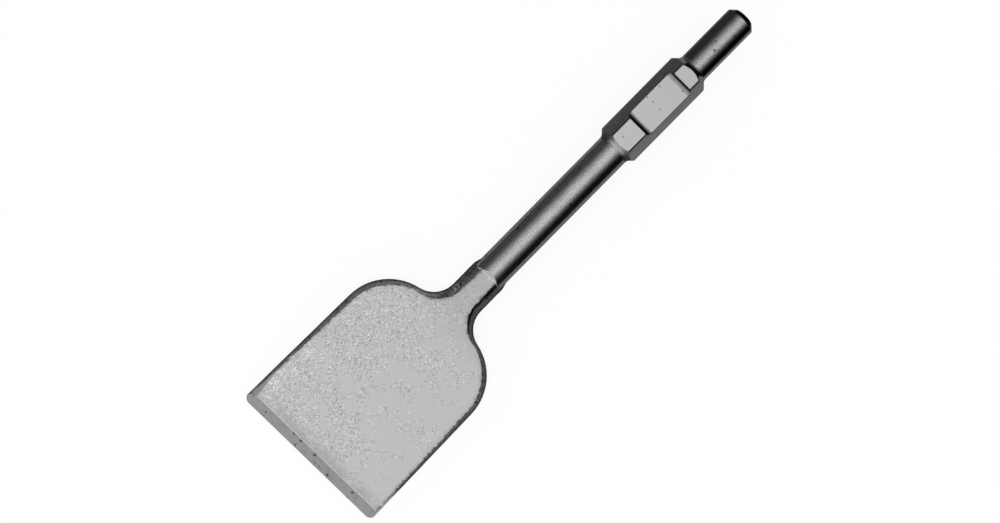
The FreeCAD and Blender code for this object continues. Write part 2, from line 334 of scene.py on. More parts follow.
def blastedFace():
    finish = Finish("blastedFace")
    along, aside, level = (finish.part(finish.place(), axis) for axis in "XYZ")
    speck = finish.noise(blasted["speckSize"], roughness=0.55, distortion=1.4)
    lump = finish.noise(blasted["lumpSize"], distortion=0.4)
    colour = speckled(finish, along, aside, speck, lump)
    colour = finish.blend(bevelShade(finish, along), colour, grey(blasted["shade"]))
    border = aside - wear["slope"] * along + wear["wander"] * (lump - 0.5)
    byStrip = finish.step(along, *wear["end"])
    onStrip = finish.step(border, wear["inner"] - wear["blur"], wear["inner"] + wear["blur"]) * byStrip
    colour = finish.blend(onStrip, colour, grey(wear["shade"]))
    byBorder = finish.step(abs(border - wear["inner"]), *wear["dentReach"]) * byStrip
    dent = wear["dentShare"] * finish.step(speck, *wear["dentFrom"]) * byBorder
    colour = finish.blend(dent, colour, grey(blasted["pit"]))
    colour = finish.blend(finish.pits(*blasted["pits"]) * blasted["pitShare"], colour, grey(blasted["pit"]))
    sunk = plainFace(along) - abs(level) + blasted["chipWander"] * (speck - 0.5)
    before = finish.step(along, tool["neckEnd"], tool["neckEnd"] - blasted["chipStop"])
    chip = blasted["chipShare"] * finish.step(sunk, *blasted["chipDepth"]) * before
    colour = finish.blend(chip * (1 - onStrip), colour, grey(blasted["chip"]))
    line = wornLine(finish, abs(along - tool["bevelLength"]), blasted["edgeWear"])
    colour = finish.blend(line * (1 - onStrip), colour, grey(blasted["worn"]))
    # painted highlight on the neck's ramp
    begun, full = (tool["neckEnd"] + reach for reach in blasted["rampHighlightReach"])
    rampHighlight = finish.step(along + blasted["rampHighlightWander"] * (lump - 0.5), begun, full)
    colour = finish.blend(blasted["rampHighlightShare"] * rampHighlight, colour, grey(blasted["worn"]))
    rough = blasted["roughness"] + blasted["roughnessSpread"] * (speck - 0.5)
    normal = finish.bump(speck, blasted["depth"], finish.bump(lump, blasted["depth"]))
    return finish.steel(colour, rough, normal, blasted["metallic"])


ground = {
    "plain": 0.14,
    "streak": 0.112,
    "streakSize": 0.9,
    "streakStretch": (1.0, 0.1, 1.0),
    "streakDepth": 0.01,
    "stain": 0.0896,
    "stainSize": 6.0,
    "stainFrom": (0.45, 0.7),
    "stainShare": 0.5,
    "pit": 0.03,
    "pits": (2.4, 6.2),
    "worn": 0.2,
    "edgeWear": 0.5,
    "roughness": 0.36,
    "roughnessSpread": 0.1,
}


def groundBevel():
    finish = Finish("groundBevel")
    streak = finish.noise(ground["streakSize"], 3.0, 0.6, stretch=ground["streakStretch"])
    stain = finish.step(finish.noise(ground["stainSize"], 3.0, 0.6), *ground["stainFrom"])
    below = tool["bevelLength"] - finish.part(finish.place(), "X")
    colour = finish.blend(streak, grey(ground["streak"]), grey(ground["plain"]))
    colour = finish.blend(stain * ground["stainShare"], colour, grey(ground["stain"]))
    colour = finish.blend(finish.pits(*ground["pits"]), colour, grey(ground["pit"]))
    colour = finish.blend(wornLine(finish, below, ground["edgeWear"]), colour, grey(ground["worn"]))
    rough = ground["roughness"] + streak * ground["roughnessSpread"]
    return finish.steel(colour, rough, finish.bump(streak, ground["streakDepth"]))


# the walls' levels are painted light and shade: darkest down by the flash land, lighter up at the rim
forged = {                   # pairs of levels are for the right side and for the left
    "land": 0.01,            # beside the flash land, a painted shade; the pits take this level too
    "landShade": (0.5, 2.3), # heights over it at which that painted shade begins and stops to fade
    "landRagged": 2.5,
    "low": 0.1,              # above that, painted shade
    "bladeRimPaintedLight": 0.22,        # painted light at the rim of the blade's face
    "neckRimPaintedLight": (0.09, 0.42), # and of the neck's, painted light and shade: dark on the right, light on the left
    "rimFrom": (0.25, 1.15), # shares of the wall's height at which that begins, and is full
    "rimRagged": (0.5, 0.8), # how far scale and flakes shift it
    "corner": (0.5, 0.15),   # painted light by the corners of the cutting edge, a highlight on the right
    "cornerReach": ((34.0, 20.0), (26.0, 12.0)),     # places along at which that begins, and is full
    "cornerRagged": 12.0,
    "line": (0.72, 0.86),    # shares of the height over which a painted dark line stays there on the right
    "lineShare": 0.9,
    "leftFrom": (-3.0, 3.0),
    "blotch": 0.75,
    "blotchFrom": (0.4, 0.6),
    "patchSize": 14.0,
    "flakeSize": 1.3,
    "scaleSize": 2.6,
    "scaleDepth": 0.04,
    "pits": (2.2, 6.0),
    "pitShare": 0.9,
    "edgeTint": 0.4,
    "bladeRoughness": 0.42,
    "neckRoughness": 0.22,
    "roughnessSpread": 0.15,
}


def forgedWall():
    finish = Finish("forgedWall")
    along, aside, level = (finish.part(finish.place(), axis) for axis in "XYZ")
    scale = finish.noise(forged["scaleSize"], 3.0, 0.6)
    stray = scale - 0.5
    onNeck = finish.step(along, *blasted["neckReach"])
    onLeft = finish.step(aside, *forged["leftFrom"])
    above = abs(level) - tool["flashLand"] / 2
    share = above / (plainFace(along) - tool["flashLand"] / 2)
    flake = finish.noise(forged["flakeSize"], roughness=0.6) - 0.5
    byScale, byFlake = forged["rimRagged"]
    # painted light and shade: dark by the flash land, lighter at the rim, on the neck darker on the right
    paintedTopShare = finish.step(share + byScale * stray + byFlake * share * flake, *forged["rimFrom"])
    neckRimPaintedLight = finish.blend(onLeft, *map(grey, forged["neckRimPaintedLight"]))
    rim = finish.blend(onNeck, grey(forged["bladeRimPaintedLight"]), neckRimPaintedLight)
    colour = finish.blend(paintedTopShare, grey(forged["low"]), rim)
    abovePaintedShade = finish.step(above + forged["landRagged"] * stray, *forged["landShade"])
    colour = finish.blend(abovePaintedShade, grey(forged["land"]), colour)
    # painted highlight by the right corner of the cutting edge, with a painted dark line on the right
    place = along + forged["cornerRagged"] * stray
    rightEnd, leftEnd = (finish.step(place, *reach) for reach in forged["cornerReach"])
    line = forged["lineShare"] * finish.step(share, *forged["line"]) * (1 - onLeft)
    byCorner = (leftEnd * onLeft + rightEnd * (1 - onLeft)) * (1 - line)
    colour = finish.blend(byCorner, colour, finish.blend(onLeft, *map(grey, forged["corner"])))
    patch = finish.noise(forged["patchSize"])
    blotch = finish.step(patch * 0.5 + scale * 0.5, *forged["blotchFrom"])
    shaded = finish.blend(1.0, colour, grey(forged["blotch"]), "MULTIPLY")
    colour = finish.blend(blotch, shaded, colour)
    colour = finish.blend(finish.pits(*forged["pits"]) * forged["pitShare"], colour, grey(forged["land"]))
    smoother = forged["neckRoughness"] - forged["bladeRoughness"]
    rough = forged["bladeRoughness"] + onNeck * smoother + stray * forged["roughnessSpread"]
    return finish.steel(colour, rough, finish.bump(scale, forged["scaleDepth"]), tint=forged["edgeTint"])


flash = {
    "pale": 0.05,
    "dark": 0.02,
    "tearSize": 1.2,
    "tearStretch": (1.0, 1.0, 0.25),
    "tearDepth": 0.06,
    "roughness": 0.4,
    "roughnessSpread": 0.15,
}


def flashLand():
    finish = Finish("flashLand")
    tear = finish.noise(flash["tearSize"], 3.0, 0.6, stretch=flash["tearStretch"])
    colour = finish.blend(tear, grey(flash["dark"]), grey(flash["pale"]))
    rough = flash["roughness"] + tear * flash["roughnessSpread"]
    return finish.steel(colour, rough, finish.bump(tear, flash["tearDepth"]))


turned = {
    "plain": 0.178,
    "dark": 0.14,
    "stainSize": 16.0,
    "stainFrom": (0.4, 0.7),
    "stainShare": 0.5,
    "speckSize": 1.0,
    "speckPale": 0.2492,
    "paleFrom": (0.5, 0.68),
    "speckDark": 0.084,
    "darkFrom": (0.5, 0.34),
    "speckShare": 0.55,
    "pit": 0.02,
    "pits": (1.9, 9.0),
    "noseShade": 0.55,        # painted shade on the left of the nose
    "noseShadeReach": (-2.5, 8.5),
    "edgeTint": 0.45,        # dims the steel where it is seen at a shallow angle
    "roughness": 0.19,
    "noseRoughness": 0.12,
    "coneRoughness": (0.34, 0.16),   # of the hexagon's ends by the bar and by the nose
    "markSpread": 0.06,      # of the roughness, by turning marks and by stains
    "stainSpread": 0.08,
    "coneShade": (3.0, 12.0),    # distances from the middle over which the end by the bar takes a painted shade
    "coneDark": 0.75,
    "markPitch": 0.35,       # turning marks of bar and nose
    "markStretch": (1.0, 0.02, 0.02),
    "markDepth": 0.003,
    "endPitch": 0.49,        # and of the hexagon's ends
    "endStretch": (1.0, 0.05, 0.05),
    "endDepth": 0.006,
    "unevenSize": 1.6,
    "unevenDepth": 0.015,
}


def turnedSteel(finish, stain):
    # stained grey with faint light and dark specks and a few pits
    speck = finish.noise(turned["speckSize"], roughness=0.6)
    pale = turned["speckShare"] * finish.step(speck, *turned["paleFrom"])
    dark = turned["speckShare"] * finish.step(speck, *turned["darkFrom"])
    stained = finish.step(stain, *turned["stainFrom"]) * turned["stainShare"]
    colour = finish.blend(stained, grey(turned["plain"]), grey(turned["dark"]))
    colour = finish.blend(dark, colour, grey(turned["speckDark"]))
    colour = finish.blend(pale, colour, grey(turned["speckPale"]))
    return finish.blend(finish.pits(*turned["pits"]), colour, grey(turned["pit"]))


def turnedBar(name="turnedBar", roughness=turned["roughness"], paintedShade=0.0):
    finish = Finish(name)
    mark = finish.noise(turned["markPitch"], 1.0, stretch=turned["markStretch"])
    stain = finish.noise(turned["stainSize"], 4.0, 0.6)
    # painted shade, darker on the left of the nose
    shadedSide = paintedShade * finish.step(finish.part(finish.place(), "Y"), *turned["noseShadeReach"])
    colour = finish.blend(shadedSide, turnedSteel(finish, stain), grey(turned["pit"]))
    rough = roughness + mark * turned["markSpread"] + (stain - 0.5) * turned["stainSpread"]
    uneven = finish.bump(finish.noise(turned["unevenSize"], 3.0, 0.65), turned["unevenDepth"])
    normal = finish.bump(mark, turned["markDepth"], uneven)
    return finish.steel(colour, rough, normal, tint=turned["edgeTint"])


def turnedNose():
    return turnedBar("turnedNose", turned["noseRoughness"], turned["noseShade"])


def turnedEnd():
    finish = Finish("turnedEnd")
    mark = finish.noise(turned["endPitch"], 1.0, stretch=turned["endStretch"])
    stain = finish.noise(turned["stainSize"], 4.0, 0.6)
    byNose = finish.step(finish.part(finish.place(), "X"), tool["hexLow"], tool["hexHigh"])
    # painted shade on both sides of the hexagon's end by the bar
    beside = finish.step(abs(finish.part(finish.place(), "Y")), *turned["coneShade"]) * (1 - byNose)
    colour = finish.blend(turned["coneDark"] * beside, turnedSteel(finish, stain), grey(turned["pit"]))
    low, high = turned["coneRoughness"]
    rough = low + (high - low) * byNose + mark * turned["markSpread"]
    return finish.steel(colour, rough, finish.bump(mark, turned["endDepth"]), tint=turned["edgeTint"])


milled = {                   # the hexagon's front, on both sides of the recess and in it
    "pale": 0.2247,
    "dark": 0.1953,
    "grainSize": 1.1,
    "markSize": 0.8,
    "markStretch": (0.12, 1.0, 1.0),
    "depth": 0.008,
    "pit": 0.03,
    "pits": (1.3, 7.0),
    "pitShare": 0.7,
    "line": 0.03,            # painted dark hairline of shade along the low arc
    "lineReach": (0.78, 0.3),    # distances at which it is gone, and full
    "lineShare": 0.7,
    "roughness": 0.34,
    "roughnessSpread": 0.12,
}


def milledFront():
    finish = Finish("milledFront")
    along, aside, level = (finish.part(finish.place(), axis) for axis in "XYZ")
    mark = finish.noise(milled["markSize"], stretch=milled["markStretch"])
    grain = finish.noise(milled["grainSize"], 3.0, 0.6)
    colour = finish.blend(grain, grey(milled["dark"]), grey(milled["pale"]))
    colour = finish.blend(finish.pits(*milled["pits"]) * milled["pitShare"], colour, grey(milled["pit"]))
    arc = tool["hexLow"] - tool["hexCorner"] + (aside * aside + level * level)**0.5
    line = finish.step(along - arc, *milled["lineReach"]) * milled["lineShare"]
    colour = finish.blend(line, colour, grey(milled["line"]))
    rough = milled["roughness"] + (grain - 0.5) * milled["roughnessSpread"]
    return finish.steel(colour, rough, finish.bump(mark * 0.5 + grain * 0.5, milled["depth"]))


flank = {                    # the hexagon's other sides, painted darker than its front as shade
    "pale": 0.1375,
    "dark": 0.11,
    "shadeMix": (0.6, 0.4),  # how much of stains and of grain
    "shadeFrom": (0.3, 0.7),
    "stainSize": 11.0,
    "grainSize": 1.6,
    "depth": 0.012,
    "pit": 0.03,
    "pits": (1.6, 8.0),
    "pitShare": 0.8,
    "line": 0.03,            # painted dark hairline of shade beside the front
    "lineReach": (0.84, 0.42),
    "lineShare": 0.8,
    "roughness": 0.34,
    "roughnessSpread": 0.15,
}


def hexSide():
    finish = Finish("hexSide")
    grain = finish.noise(flank["grainSize"], 3.0, 0.6)
    ofStain, ofGrain = flank["shadeMix"]
    shade = finish.step(finish.noise(flank["stainSize"]) * ofStain + grain * ofGrain, *flank["shadeFrom"])
    colour = finish.blend(shade, grey(flank["dark"]), grey(flank["pale"]))
    colour = finish.blend(finish.pits(*flank["pits"]) * flank["pitShare"], colour, grey(flank["pit"]))
    below = tool["hexHalf"] - finish.part(finish.place(), "Z")
    line = finish.step(below, *flank["lineReach"]) * flank["lineShare"]
    colour = finish.blend(line, colour, grey(flank["line"]))
    rough = flank["roughness"] + (grain - 0.5) * flank["roughnessSpread"]
    return finish.steel(colour, rough, finish.bump(grain, flank["depth"]))


recess = {                   # the recess's end walls, painted darker than the hexagon's front as shade
    "pale": 0.1375,
    "dark": 0.1,
    "top": 0.012,
    "topReach": (4.1, 1.9),  # depths under the front at which their painted shade begins, and is darkest
    "markSize": 0.6,
    "markStretch": (1.0, 0.05, 1.0),
    "depth": 0.008,
    "roughness": 0.17,
    "roughnessSpread": 0.08,
}


def recessWall():
    finish = Finish("recessWall")
    mark = finish.noise(recess["markSize"], stretch=recess["markStretch"])
    # painted shade, darker up towards the front
    begun, full = (tool["hexHalf"] - depth for depth in recess["topReach"])
    paintedTopShare = finish.step(finish.part(finish.place(), "Z"), begun, full)
    colour = finish.blend(mark, grey(recess["dark"]), grey(recess["pale"]))
    colour = finish.blend(paintedTopShare, colour, grey(recess["top"]))
    rough = recess["roughness"] + mark * recess["roughnessSpread"]
    return finish.steel(colour, rough, finish.bump(mark, recess["depth"]))


struck = {
    "plain": 0.28,
    "dark": 0.18,
    "dentSize": 3.0,
    "dentDepth": 0.05,
    "metallic": 0.85,
    "roughness": 0.42,
    "roughnessSpread": 0.1,
}


def strikingFace():
    finish = Finish("strikingFace")
    dent = finish.noise(struck["dentSize"], 3.0, 0.6)
    colour = finish.blend(dent, grey(struck["dark"]), grey(struck["plain"]))
    rough = struck["roughness"] + dent * struck["roughnessSpread"]
    return finish.steel(colour, rough, finish.bump(dent, struck["dentDepth"]), struck["metallic"])


makers = [blastedFace, groundBevel, forgedWall, flashLand, turnedBar, turnedNose, turnedEnd, milledFront,
          hexSide, recessWall, strikingFace]
finishes = [make() for make in makers]
zoneNumber = {material.name: number for number, material in enumerate(finishes)}
print("finishes made:", ", ".join(zoneNumber))


# Form of the piece

form = {
    "mergeWithin": 0.002,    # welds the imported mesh's points
    "flatWithin": math.radians(0.4),     # joins its triangles to plain faces
    "sharpOver": math.radians(20),       # edges that are rounded
    "edgeRound": 0.3,
    "roundSteps": 2,
    "foldOver": math.radians(60),        # edges that count as folded
    "foldRounds": 8,
    "bladeStep": 1.0,        # spacing of the mesh lines
    "barStep": 1.6,
    "wallStep": 1.0,
    "turns": 96,             # faces round the bar
    "cutReach": 200.0,       # how far from a line along the blade and the neck its faces are cut
    "halfWidth": 66.0,       # of the lines across
    "wallReach": (1.2, 12.0),    # heights of the lines round the walls
    "overlap": 5.0,          # of the lines of the shank with those of the neck
    "hexMargins": (7.0, 8.0),    # finer lines before the hexagon and behind it
    "endSlope": math.radians(45),    # of the hexagon's turned ends
    "snapWithin": 0.13,      # round faces are moved to the turned radius from this near
}


def turnedRadius(x):
    # radius that the lathe left at x, with the fillets at both roots of the hexagon
    past = max(tool["hexLow"] - x, x - tool["hexHigh"], 0.0)
    plain = tool["barRadius"] if x < tool["hexLow"] else tool["noseRadius"]
    if x < tool["hexHigh"] and x > tool["hexLow"]:
        return tool["hexCorner"]
    root = tool["hexCorner"] - plain
    fillet = tool["rootFillet"]
    reach = fillet * math.tan(form["endSlope"] / 2)
    if past > root + reach:
        radius = plain
    elif past < root - reach * math.cos(form["endSlope"]):
        radius = tool["hexCorner"] - past
    else:
        radius = plain + fillet - math.sqrt(fillet**2 - (root + reach - past)**2)
    left = tool["overallLength"] - x
    return min(radius, tool["noseRadius"] - tool["noseChamfer"] + left)


def faceHeight(x):
    # height of the blade's and the neck's faces over the middle plane
    run = (x - tool["bevelLength"]) / (tool["neckEnd"] - tool["bevelLength"])
    return tool["heelHeight"] + (tool["flatHeight"] - tool["heelHeight"]) * min(max(run, 0.0), 1.0)


sort = {                     # limits by which the solid's faces are told apart: first of the normal's parts
    "bevelAlong": 0.2,
    "bevelLevel": 0.8,
    "endOn": (0.9, 0.95),    # of the cutting edge, and of the striking face
    "faceLevel": 0.95,
    "ramp": 0.6,             # both parts of the neck's ramp
    "upright": 0.05,
    "barAlong": 0.1,
    "recessFloor": 0.99,
    "hexAlong": 0.01,
    "hexFront": 0.99,
    "roundAlong": 0.02,
    "bevelSlack": 0.1,       # then lengths
    "landSlack": 0.05,
    "barSlack": 0.3,
    "barFrom": 2.0,          # past the neck's end
    "recessSlack": 0.2,
    "recessDepths": (0.1, 4.5),
    "hexSlack": (4.0, 5.0),
}


def zoneOf(face):
    # finish of a face of the solid, by its place and the way it looks
    spot, normal = face.calc_center_median(), face.normal
    level, lean = abs(normal.z), abs(normal.x)
    byEdge, byStrike = sort["endOn"]
    bevelled = lean > sort["bevelAlong"] and level > sort["bevelLevel"]
    if spot.x < tool["bevelLength"] + sort["bevelSlack"] and (bevelled or normal.x < -byEdge):
        return "groundBevel"
    if spot.x < tool["runEnd"]:
        if level > sort["faceLevel"] or normal.x < -sort["ramp"] and level > sort["ramp"]:
            return "blastedFace"
        if level < sort["upright"] and abs(spot.z) < tool["flashLand"] / 2 + sort["landSlack"]:
            return "flashLand"
        onRound = abs(math.hypot(spot.y, spot.z) - tool["barRadius"]) < sort["barSlack"]
        if spot.x > tool["neckEnd"] + sort["barFrom"] and onRound and lean < sort["barAlong"]:
            return "turnedBar"
        return "forgedWall"
    if normal.x > byStrike and spot.x > tool["hexHigh"]:
        return "strikingFace"
    lip, deepest = (tool["hexHalf"] - depth for depth in sort["recessDepths"])
    low, high = tool["recessLow"] - sort["recessSlack"], tool["recessHigh"] + sort["recessSlack"]
    steep = level < sort["recessFloor"] and abs(normal.y) < sort["upright"]
    if low < spot.x < high and spot.z > deepest and steep and (lean > sort["upright"] or spot.z < lip):
        return "recessWall"
    before, behind = sort["hexSlack"]
    if lean < sort["hexAlong"] and tool["hexLow"] - before < spot.x < tool["hexHigh"] + behind:
        return "milledFront" if level > sort["hexFront"] else "hexSide"
    if lean < sort["roundAlong"]:
        return "turnedBar" if spot.x < tool["hexLow"] else "turnedNose"
    return "turnedEnd"


def cutAt(shape, spot, normal, low=-math.inf, high=math.inf):
    # cuts the faces whose middle lies between two places along the tool
    faces = shape.faces[:]
    if low > -math.inf or high < math.inf:
        faces = [face for face in faces if low <= face.calc_center_bounds().x <= high]
    parts = set(faces)
    for face in faces:
        parts.update(face.edges)
        parts.update(face.verts)
    bmesh.ops.bisect_plane(shape, geom=list(parts), plane_co=spot, plane_no=normal, dist=1e-4)


def spread(low, high, step):
    count = max(1, round((high - low) / step))
    return [low + (high - low) * (number + 0.5) / count for number in range(count)]


def sliceForm(shape):
    # mesh lines along, across and round the tool, for the skin to follow
    for x in spread(0.0, tool["runEnd"], form["bladeStep"]):
        cutAt(shape, (x, 0, 0), (1, 0, 0), x - form["cutReach"], x + form["cutReach"])
    before, behind = form["hexMargins"]
    ends = tool["runEnd"], tool["hexLow"] - before, tool["hexHigh"] + behind, tool["overallLength"]
    for low, high, step in zip(ends, ends[1:], (form["barStep"], form["bladeStep"], form["barStep"])):
        for x in spread(low, high, step):
            cutAt(shape, (x, 0, 0), (1, 0, 0), tool["runEnd"] - form["overlap"])
    for number in range(form["turns"] // 2):
        angle = math.pi * (number + 0.5) / (form["turns"] // 2)
        cutAt(shape, (0, 0, 0), (0, math.cos(angle), math.sin(angle)), tool["runEnd"])
    for y in spread(-form["halfWidth"], form["halfWidth"], form["bladeStep"]):
        cutAt(shape, (0, y, 0), (0, 1, 0), high=tool["runEnd"])
    for z in spread(*form["wallReach"], form["wallStep"]):
        for side in (1, -1):
            cutAt(shape, (0, 0, side * z), (0, 0, 1), high=tool["runEnd"])


def relaxFolds(shape):
    # smooths the few places where the rounding of several edges runs into itself
    for turn in range(form["foldRounds"]):
        shape.normal_update()
        folded = [edge for edge in shape.edges if edge.calc_face_angle(0.0) > form["foldOver"]]
        verts = list({vert for edge in folded for vert in edge.verts})
        if not turn:
            print("folded edges:", len(folded))
        bmesh.ops.smooth_vert(shape, verts=verts, factor=0.5,
                              use_axis_x=True, use_axis_y=True, use_axis_z=True)
    print("left folded:", len(folded))


def makeForm():
    shape = bmesh.new()
    shape.from_mesh(frame["nodes"]["wide_chisel"].data)
    shape.transform(rowToTool)
    bmesh.ops.remove_doubles(shape, verts=shape.verts[:], dist=form["mergeWithin"])
    bmesh.ops.dissolve_limit(shape, angle_limit=form["flatWithin"], verts=shape.verts[:],
                             edges=shape.edges[:], use_dissolve_boundaries=False)
    shape.normal_update()
    rounded = shape.faces.layers.int.new("rounded")
    for face in shape.faces:
        face.material_index = zoneNumber[zoneOf(face)]
    sharp = [edge for edge in shape.edges if edge.calc_face_angle(0.0) > form["sharpOver"]]
    made = bmesh.ops.bevel(shape, geom=sharp, offset=form["edgeRound"], offset_type="OFFSET",
                           segments=form["roundSteps"], profile=0.5, affect="EDGES",
                           clamp_overlap=False, material=-1, loop_slide=True)
    for face in made["faces"]:
        face[rounded] = 1
    print("edges rounded:", len(sharp), "faces:", len(shape.faces))
    relaxFolds(shape)
    sliceForm(shape)
    turnedZones = {zoneNumber[name] for name in ("turnedBar", "turnedNose", "turnedEnd", "hexSide")}
    for vert in shape.verts:
        if vert.co.x < tool["runEnd"]:
            continue
        plain = [face for face in vert.link_faces if not face[rounded]]
        if not plain or any(face.material_index not in turnedZones for face in plain):
            continue
        now, right = math.hypot(vert.co.y, vert.co.z), turnedRadius(vert.co.x)
        if 0 < abs(now - right) < form["snapWithin"]:
            vert.co.y *= right / now
            vert.co.z *= right / now
    print("sliced:", len(shape.faces), "faces")
    markZones(shape)
    mesh = bpy.data.meshes.new("chisel")
    shape.to_mesh(mesh)
    shape.free()
    mesh.attributes.remove(mesh.attributes["rounded"])
    mesh.materials.append(finishes[0])
    mesh.shade_smooth()
    return mesh


def markZones(shape):
    # what the skin reads: each face's zone, each point's share of forged skin and of wall crown
    zone = shape.faces.layers.int.new("zone")
    forgedShare = shape.verts.layers.float.new("forged")
    wallShare = shape.verts.layers.float.new("wall")
    rim = shape.verts.layers.float.new("rim")
    for face in shape.faces:
        face[zone] = face.material_index
        face.material_index = 0
    skinned = {zoneNumber[name] for name in ("blastedFace", "forgedWall", "flashLand")}
    wall, blade = zoneNumber["forgedWall"], zoneNumber["blastedFace"]
    land = tool["flashLand"] / 2
    for vert in shape.verts:
        zones = [face[zone] for face in vert.link_faces]
        vert[forgedShare] = sum(number in skinned for number in zones) / len(zones)
        vert[rim] = wall in zones and blade in zones
        height = faceHeight(vert.co.x) - land
        share = (abs(vert.co.z) - land) / height
        if wall in zones and 0 < share < 1 and vert.co.x < tool["neckEnd"]:
            vert[wallShare] = height * 4 * share * (1 - share) * zones.count(wall) / len(zones)


# Forged skin

skin = {
    "Wall Crown": 0.05,      # rise of the side walls' middle, for each millimetre of their height
    "Lump Depth": 0.22,
    "Lump Size": 9.0,
    "Hammered Depth": 0.1,
    "Hammered Size": 3.2,
    "Dents": 0.012,          # for each square millimetre of forged face
    "Dent Width": 2.6,
    "Dent Depth": 0.16,
    "Rim Fall": 0.42,        # how far the rim between face and wall is rounded down
    "Rim Width": 2.4,
    "Rim Size": 2.2,         # of its unevenness
    "Strip Inner": wear["inner"],
    "Strip Slope": wear["slope"],
    "Strip Fall": wear["fall"],
    "Seed": 7,
}

skinShape = {
    "dentSizes": (0.45, 1.0),    # smallest and largest, as shares of the width and depth above
    "rimStray": (2.6, 0.3),      # the noise that widens the rim's fall: its factor, and what comes off
    "rimUneven": (3.0, 0.6),     # the same for the one that deepens it
    "rimMarked": 0.9,            # level of the rim's mark over which an edge belongs to it
    "stripFrom": 0.3,            # share of the bevel's length from which the strip sinks
}


def skinTree():
    group = bpy.data.node_groups.new("forgedSkin", "GeometryNodeTree")
    group.interface.new_socket("Geometry", in_out="INPUT", socket_type="NodeSocketGeometry")
    for name, value in skin.items():
        kind = "NodeSocketInt" if isinstance(value, int) else "NodeSocketFloat"
        group.interface.new_socket(name, in_out="INPUT", socket_type=kind).default_value = value
    group.interface.new_socket("Geometry", in_out="OUTPUT", socket_type="NodeSocketGeometry")
    recipe = Tree(group)

    def given(name):
        return recipe.node("NodeGroupInput", result=name)

    def attribute(name, kind="FLOAT"):
        return recipe.node("GeometryNodeInputNamedAttribute", {"data_type": kind}, {"Name": name})

    def lumps(size):
        return recipe.node("ShaderNodeTexNoise", {"noise_dimensions": "4D"}, {
            "Vector": place, "W": given("Seed"), "Scale": 1 / size, "Detail": 2.0,
        })

    plain, place = given("Geometry"), recipe.node("GeometryNodeInputPosition")
    forgedShare = attribute("forged")
    points = recipe.node("GeometryNodeDistributePointsOnFaces", None, {
        "Mesh": plain, "Selection": forgedShare.maths("GREATER_THAN", 0.5),
        "Density": given("Dents"), "Seed": given("Seed"),
    })
    nearest = recipe.node("GeometryNodeSampleNearest", None, {"Geometry": points, "Sample Position": place})
    middle = recipe.node("GeometryNodeSampleIndex", {"data_type": "FLOAT_VECTOR"}, {
        "Geometry": points, "Value": recipe.node("GeometryNodeInputPosition"), "Index": nearest,
    })
    smallest, largest = skinShape["dentSizes"]
    chance = recipe.node("FunctionNodeRandomValue", {"data_type": "FLOAT"}, {
        2: smallest, 3: largest, "ID": nearest, "Seed": given("Seed"),
    }, 1)
    away = recipe.vectorMaths("DISTANCE", place, middle, result="Value")
    dent = recipe.step(away, 0.5 * chance * given("Dent Width"), 0.0) * chance * given("Dent Depth")
    lumpy = given("Lump Depth") * lumps(given("Lump Size"))
    hammered = given("Hammered Depth") * lumps(given("Hammered Size"))
    rims = recipe.node("GeometryNodeSeparateGeometry", {"domain": "EDGE"}, {
        "Geometry": plain, "Selection": attribute("rim").maths("GREATER_THAN", skinShape["rimMarked"]),
    })
    off = recipe.node("GeometryNodeProximity", {"target_element": "EDGES"}, {0: rims}, "Distance")
    wider, narrower = skinShape["rimStray"]
    ragged = given("Rim Width") * (wider * lumps(given("Hammered Size")) - narrower)
    deeper, shallower = skinShape["rimUneven"]
    uneven = (deeper * lumps(given("Rim Size")) - shallower).maths("MAXIMUM", 0.0)
    fall = given("Rim Fall") * uneven * recipe.step(off, ragged, 0.0)
    inward = forgedShare * (lumpy + hammered + dent + fall) - attribute("wall") * given("Wall Crown")
    offset = recipe.node("ShaderNodeVectorMath", {"operation": "SCALE"}, {
        0: recipe.node("GeometryNodeInputNormal"), "Scale": inward * -1,
    })
    moved = recipe.node("GeometryNodeSetPosition", None, {"Geometry": plain, "Offset": offset})
    x, y, z = (recipe.part(place, axis) for axis in "XYZ")
    past = (y - x * given("Strip Slope") - given("Strip Inner")).maths("MAXIMUM", 0.0)
    past = past * recipe.step(x, skinShape["stripFrom"] * tool["bevelLength"], tool["bevelLength"])
    roof = plainFace(x) - past * given("Strip Fall")
    lowered = recipe.node("ShaderNodeCombineXYZ", None, {0: x, 1: y, 2: z.maths("MINIMUM", roof)})
    onStrip = past.maths("GREATER_THAN", 0.0) * x.maths("LESS_THAN", wear["end"][0])
    onStrip = onStrip * z.maths("GREATER_THAN", 0.0)
    moved = recipe.node("GeometryNodeSetPosition", None, {
        "Geometry": moved, "Selection": onStrip, "Position": lowered,
    })
    done = recipe.node("GeometryNodeRealizeInstances", None, {"Geometry": moved})
    for number, material in enumerate(finishes):
        chosen = recipe.node("FunctionNodeCompare", {"data_type": "INT", "operation": "EQUAL"}, {
            2: attribute("zone", "INT"), 3: number,
        })
        done = recipe.node("GeometryNodeSetMaterial", None, {
            "Geometry": done, "Selection": chosen, "Material": material,
        })
    recipe.node("NodeGroupOutput", None, {"Geometry": done})
    return group


